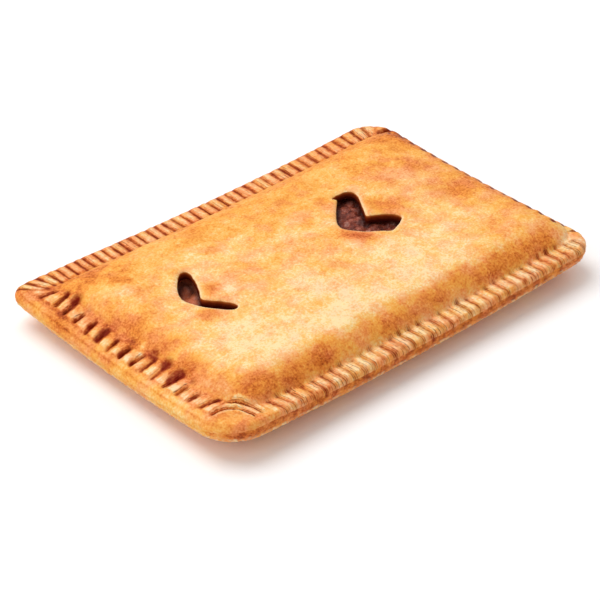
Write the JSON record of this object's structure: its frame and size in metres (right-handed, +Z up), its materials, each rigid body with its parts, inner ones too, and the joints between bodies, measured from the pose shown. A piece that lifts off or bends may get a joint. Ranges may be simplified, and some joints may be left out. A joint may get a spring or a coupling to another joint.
{
  "type": "rectangular tuna empanada",
  "caption": "Flat rectangular baked turnover with a crimped rim, a raised golden top and V-shaped vents that show its dark filling.",
  "frame": {"origin": "under the middle of the crust's bounding box, on the surface it rests on", "axes": "+X along the long side, +Y across it to the side that the picture shows farther away, +Z up"},
  "size_m": [0.1638, 0.108, 0.0197],
  "materials": {
    "crust": "egg-washed baked dough, soft satin on the raised top, drier and darker at the crimps",
    "filling": "moist and lumpy"
  },
  "bodies": {
    "root": {"crust": "crust", "filling": "filling"}
  },
  "joints": []
}
